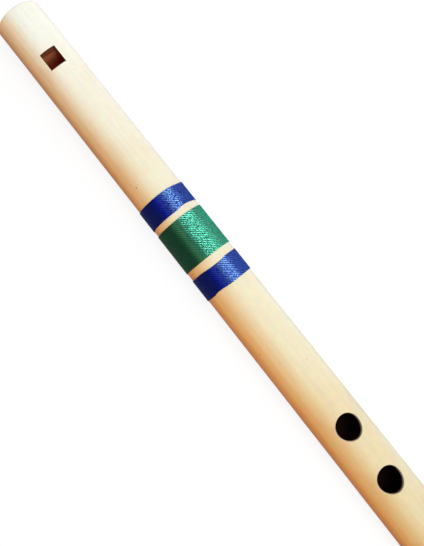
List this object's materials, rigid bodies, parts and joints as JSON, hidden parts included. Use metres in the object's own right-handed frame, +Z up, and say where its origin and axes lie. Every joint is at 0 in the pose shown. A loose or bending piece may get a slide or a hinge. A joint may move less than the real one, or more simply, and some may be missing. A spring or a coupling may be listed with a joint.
{
  "type": "bamboo whistle flute",
  "caption": "Whistle flute of bamboo: a tapered cane with a wooden block in its mouth end, a square window, oval finger holes along the top and coloured thread bindings.",
  "frame": {"origin": "centre of the mouth end, on the axis of the bore", "axes": "+X along the bore from the mouth end to the foot, +Z up through the finger holes, +Y across"},
  "size_m": [0.3595, 0.0208, 0.0208],
  "materials": {
    "bamboo": "smooth, lightly polished skin with fine lengthwise fibres",
    "block_wood": "cut reddish-brown wood, unpolished",
    "blue_thread": "twisted thread with a satin sheen, wound turn against turn and rubbed flat",
    "green_thread": "twisted thread with a satin sheen, wound turn against turn and rubbed flat"
  },
  "bodies": {
    "root": {"bamboo_tube": "bamboo", "fipple_block": "block_wood", "upper_blue_binding": "blue_thread", "green_binding": "green_thread", "lower_blue_binding": "blue_thread"}
  },
  "joints": []
}
